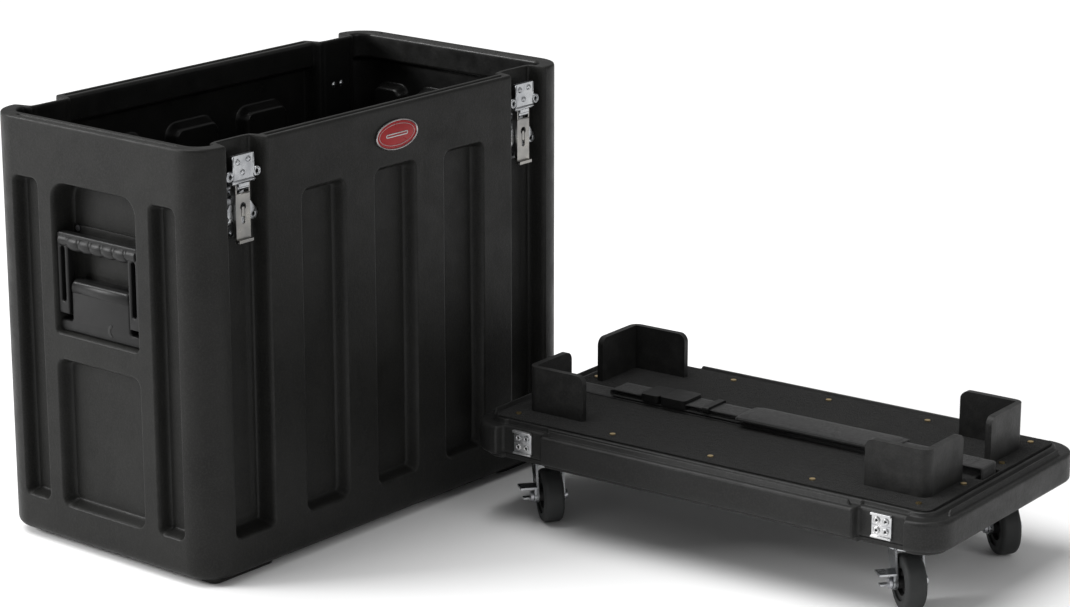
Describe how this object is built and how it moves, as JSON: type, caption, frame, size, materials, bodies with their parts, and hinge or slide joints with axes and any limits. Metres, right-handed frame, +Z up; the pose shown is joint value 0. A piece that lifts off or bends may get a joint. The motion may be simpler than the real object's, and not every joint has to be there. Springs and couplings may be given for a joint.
{
  "type": "amplifier transport case",
  "caption": "Moulded transport case on casters for a combo amplifier: lift-off cover with draw latches and spring handles, and a base with carpeted deck, corner brackets and strap.",
  "frame": {"origin": "centre of the floor rectangle that the base and the standing cover take up together, on the floor", "axes": "+Z up; +X along the base's long side, from the cover towards the base; +Y from the front of the base to its back"},
  "size_m": [1.2303, 0.8274, 0.59],
  "materials": {
    "shell_plastic": "pebbled rotomoulded polyethylene",
    "gloss_black": "moulded nylon",
    "badge_red": "domed label",
    "zinc": "bright zinc plate",
    "pin_steel": "plain steel",
    "brass_screw": "yellow zinc",
    "carpet": "short pile carpet on board",
    "webbing": "woven webbing",
    "sleeve": "padded sleeve",
    "tyre": "solid rubber",
    "hub": "moulded hub"
  },
  "bodies": {
    "base": {"base_tray": "shell_plastic", "deck_panel": "carpet", "deck_screws": "brass_screw", "corner_brackets": "shell_plastic", "strike_plates": "zinc", "strike_rivets": "zinc", "caster_plates": "zinc", "caster_bolts": "pin_steel", "strap_web": "webbing", "strap_sleeve": "sleeve", "buckle_socket": "gloss_black", "buckle_plug": "gloss_black", "strap_keeper": "gloss_black", "strap_anchors": "pin_steel"},
    "cover": {"cover_shell": "shell_plastic", "badge": "badge_red", "latch_base_1": "zinc", "latch_base_2": "zinc", "latch_base_3": "zinc", "latch_base_4": "zinc", "latch_pins": "pin_steel", "latch_rivets": "zinc", "handle_tray_near": "gloss_black", "handle_tray_far": "gloss_black", "handle_pins": "pin_steel", "handle_springs": "pin_steel", "handle_screws": "pin_steel"},
    "latch_lever_1": {"latch_lever_1": "zinc"},
    "latch_hook_1": {"latch_hook_1": "zinc"},
    "latch_lever_2": {"latch_lever_2": "zinc"},
    "latch_hook_2": {"latch_hook_2": "zinc"},
    "latch_lever_3": {"latch_lever_3": "zinc"},
    "latch_hook_3": {"latch_hook_3": "zinc"},
    "latch_lever_4": {"latch_lever_4": "zinc"},
    "latch_hook_4": {"latch_hook_4": "zinc"},
    "handle_grip_near": {"handle_grip_near": "gloss_black"},
    "handle_grip_far": {"handle_grip_far": "gloss_black"},
    "caster_fork_1": {"caster_fork_1": "zinc", "caster_axle_1": "pin_steel"},
    "wheel_1": {"wheel_hub_1": "hub", "wheel_tyre_1": "tyre"},
    "brake_pedal_1": {"brake_pedal_1": "zinc"},
    "caster_fork_2": {"caster_fork_2": "zinc", "caster_axle_2": "pin_steel"},
    "wheel_2": {"wheel_hub_2": "hub", "wheel_tyre_2": "tyre"},
    "brake_pedal_2": {"brake_pedal_2": "zinc"},
    "caster_fork_3": {"caster_fork_3": "zinc", "caster_axle_3": "pin_steel"},
    "wheel_3": {"wheel_hub_3": "hub", "wheel_tyre_3": "tyre"},
    "brake_pedal_3": {"brake_pedal_3": "zinc"},
    "caster_fork_4": {"caster_fork_4": "zinc", "caster_axle_4": "pin_steel"},
    "wheel_4": {"wheel_hub_4": "hub", "wheel_tyre_4": "tyre"},
    "brake_pedal_4": {"brake_pedal_4": "zinc"}
  },
  "joints": [
    {"name": "cover_lift", "type": "slide", "parent": "base", "child": "cover", "axis": [0, 0, 1], "range_m": [0, 0.6]},
    {"name": "lever_1_swing", "type": "hinge", "parent": "cover", "child": "latch_lever_1", "pos_m": [-0.23032, -0.32837, 0.54], "axis": [-0.0573, -0.9984, 0], "range_deg": [0, 100]},
    {"name": "hook_1_swing", "type": "hinge", "parent": "latch_lever_1", "child": "latch_hook_1", "pos_m": [-0.22633, -0.3286, 0.528], "axis": [-0.0573, -0.9984, 0], "range_deg": [-100, 0]},
    {"name": "lever_2_swing", "type": "hinge", "parent": "cover", "child": "latch_lever_2", "pos_m": [-0.19788, 0.23669, 0.54], "axis": [-0.0573, -0.9984, 0], "range_deg": [0, 100]},
    {"name": "hook_2_swing", "type": "hinge", "parent": "latch_lever_2", "child": "latch_hook_2", "pos_m": [-0.19389, 0.23647, 0.528], "axis": [-0.0573, -0.9984, 0], "range_deg": [-100, 0]},
    {"name": "lever_3_swing", "type": "hinge", "parent": "cover", "child": "latch_lever_3", "pos_m": [-0.56328, 0.25767, 0.54], "axis": [0.0573, 0.9984, 0], "range_deg": [0, 100]},
    {"name": "hook_3_swing", "type": "hinge", "parent": "latch_lever_3", "child": "latch_hook_3", "pos_m": [-0.56727, 0.2579, 0.528], "axis": [0.0573, 0.9984, 0], "range_deg": [-100, 0]},
    {"name": "lever_4_swing", "type": "hinge", "parent": "cover", "child": "latch_lever_4", "pos_m": [-0.59572, -0.30739, 0.54], "axis": [0.0573, 0.9984, 0], "range_deg": [0, 100]},
    {"name": "hook_4_swing", "type": "hinge", "parent": "latch_lever_4", "child": "latch_hook_4", "pos_m": [-0.59971, -0.30717, 0.528], "axis": [0.0573, 0.9984, 0], "range_deg": [-100, 0]},
    {"name": "grip_near_swing", "type": "hinge", "parent": "cover", "child": "handle_grip_near", "pos_m": [-0.41698, -0.38677, 0.336], "axis": [0.9984, -0.0573, 0], "range_deg": [0, 90], "stiffness_Nm_per_rad": 0.3, "springref_deg": -22.92},
    {"name": "grip_far_swing", "type": "hinge", "parent": "cover", "child": "handle_grip_far", "pos_m": [-0.37662, 0.31607, 0.336], "axis": [-0.9984, 0.0573, 0], "range_deg": [0, 90], "stiffness_Nm_per_rad": 0.3, "springref_deg": -22.92},
    {"name": "swivel_1", "type": "hinge", "parent": "base", "child": "caster_fork_1", "pos_m": [-0.0398, 0.08565, 0.082], "axis": [0, 0, 1], "continuous": true},
    {"name": "wheel_1_spin", "type": "hinge", "parent": "caster_fork_1", "child": "wheel_1", "pos_m": [-0.02494, 0.07227, 0.0375], "axis": [0.6691, 0.7431, 0], "continuous": true},
    {"name": "pedal_1_press", "type": "hinge", "parent": "caster_fork_1", "child": "brake_pedal_1", "pos_m": [-0.03966, 0.05592, 0.0375], "axis": [0.6691, 0.7431, 0], "range_deg": [-25, 0]},
    {"name": "swivel_2", "type": "hinge", "parent": "base", "child": "caster_fork_2", "pos_m": [0.5302, 0.08565, 0.082], "axis": [0, 0, 1], "continuous": true},
    {"name": "wheel_2_spin", "type": "hinge", "parent": "caster_fork_2", "child": "wheel_2", "pos_m": [0.54506, 0.07227, 0.0375], "axis": [0.6691, 0.7431, 0], "continuous": true},
    {"name": "pedal_2_press", "type": "hinge", "parent": "caster_fork_2", "child": "brake_pedal_2", "pos_m": [0.53034, 0.05592, 0.0375], "axis": [0.6691, 0.7431, 0], "range_deg": [-25, 0]},
    {"name": "swivel_3", "type": "hinge", "parent": "base", "child": "caster_fork_3", "pos_m": [0.5302, 0.34165, 0.082], "axis": [0, 0, 1], "continuous": true},
    {"name": "wheel_3_spin", "type": "hinge", "parent": "caster_fork_3", "child": "wheel_3", "pos_m": [0.54506, 0.32827, 0.0375], "axis": [0.6691, 0.7431, 0], "continuous": true},
    {"name": "pedal_3_press", "type": "hinge", "parent": "caster_fork_3", "child": "brake_pedal_3", "pos_m": [0.53034, 0.31192, 0.0375], "axis": [0.6691, 0.7431, 0], "range_deg": [-25, 0]},
    {"name": "swivel_4", "type": "hinge", "parent": "base", "child": "caster_fork_4", "pos_m": [-0.0398, 0.34165, 0.082], "axis": [0, 0, 1], "continuous": true},
    {"name": "wheel_4_spin", "type": "hinge", "parent": "caster_fork_4", "child": "wheel_4", "pos_m": [-0.0298, 0.32433, 0.0375], "axis": [0.866, 0.5, 0], "continuous": true},
    {"name": "pedal_4_press", "type": "hinge", "parent": "caster_fork_4", "child": "brake_pedal_4", "pos_m": [-0.04885, 0.31333, 0.0375], "axis": [0.866, 0.5, 0], "range_deg": [-25, 0]}
  ],
  "couplings": [
    {"joint": "hook_1_swing", "follows": "lever_1_swing", "ratio": -1},
    {"joint": "hook_2_swing", "follows": "lever_2_swing", "ratio": -1},
    {"joint": "hook_3_swing", "follows": "lever_3_swing", "ratio": -1},
    {"joint": "hook_4_swing", "follows": "lever_4_swing", "ratio": -1}
  ]
}
